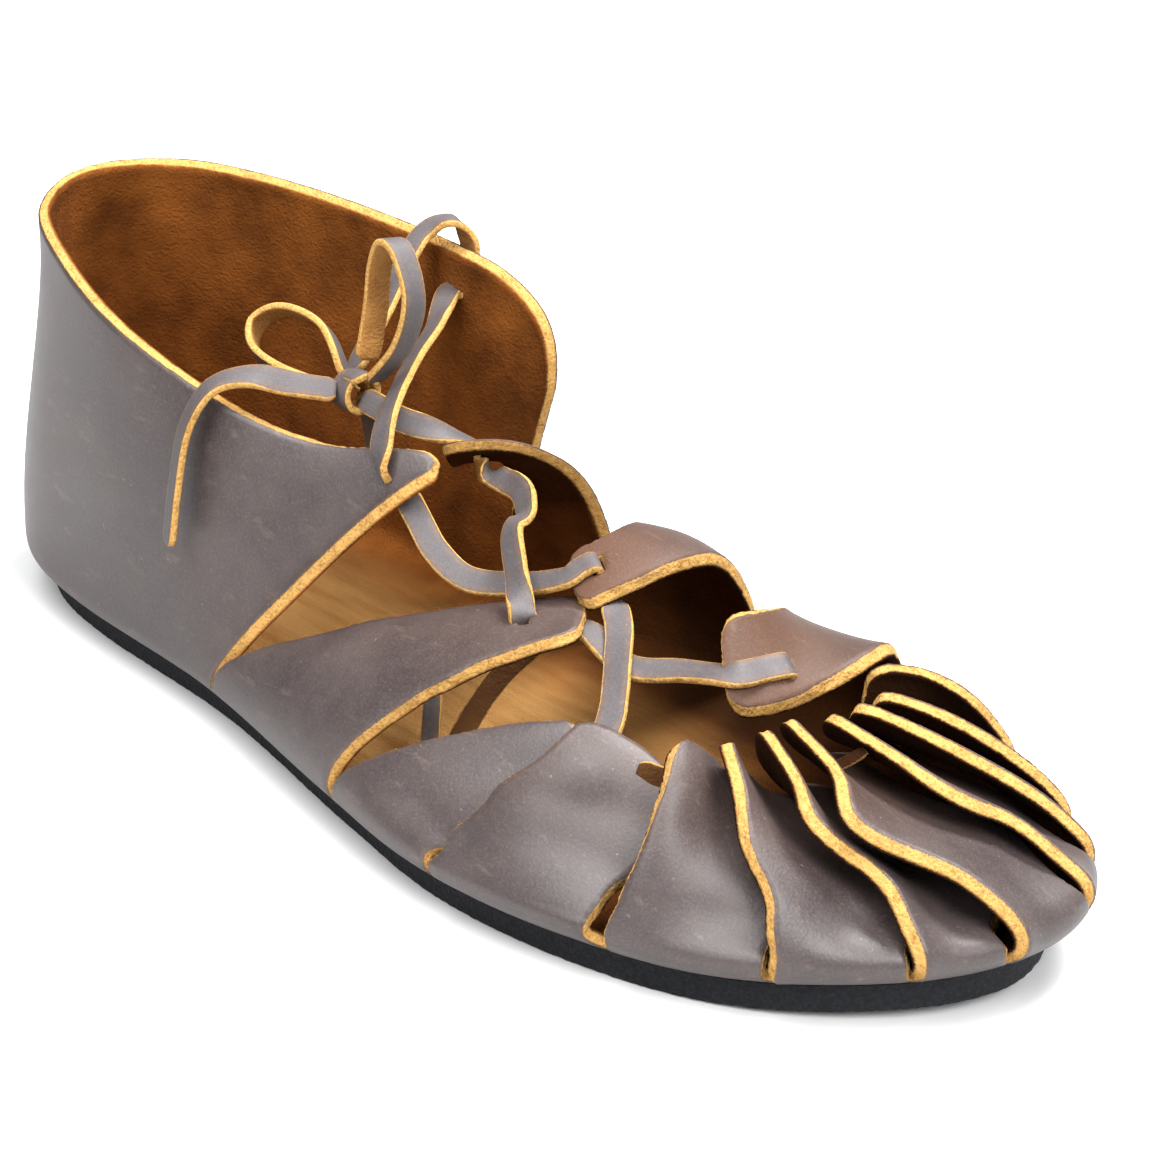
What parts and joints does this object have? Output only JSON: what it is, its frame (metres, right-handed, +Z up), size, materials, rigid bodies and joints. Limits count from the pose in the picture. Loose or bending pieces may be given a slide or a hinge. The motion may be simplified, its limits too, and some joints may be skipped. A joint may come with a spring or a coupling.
{
  "type": "laced peasant shoe",
  "caption": "Low shoe turned up from one thick hide, its rim cut into overlapping flaps over the toes and instep and drawn together by a flat thong, on a thin rubber sole.",
  "frame": {"origin": "on the floor under the middle of the sole", "axes": "+X towards the toe, +Y towards the inner side of the foot, +Z up"},
  "size_m": [0.2864, 0.1037, 0.1041],
  "materials": {
    "hide": "oiled full-grain hide, tan at the cut edges",
    "rubber": "matt foam rubber with a cut, crumbly edge",
    "thong": "flat cut thong, grain side dark, flesh side tan"
  },
  "bodies": {
    "root": {"upper": "hide", "outsole": "rubber", "lace_front_crossing": "thong", "lace_mid_crossing": "thong", "lace_top_crossing": "thong", "lace_knot": "thong", "lace_over_collar": "thong", "lace_loop_front": "thong", "lace_loop_back": "thong", "lace_end_outer": "thong", "lace_end_inner": "thong"}
  },
  "joints": []
}
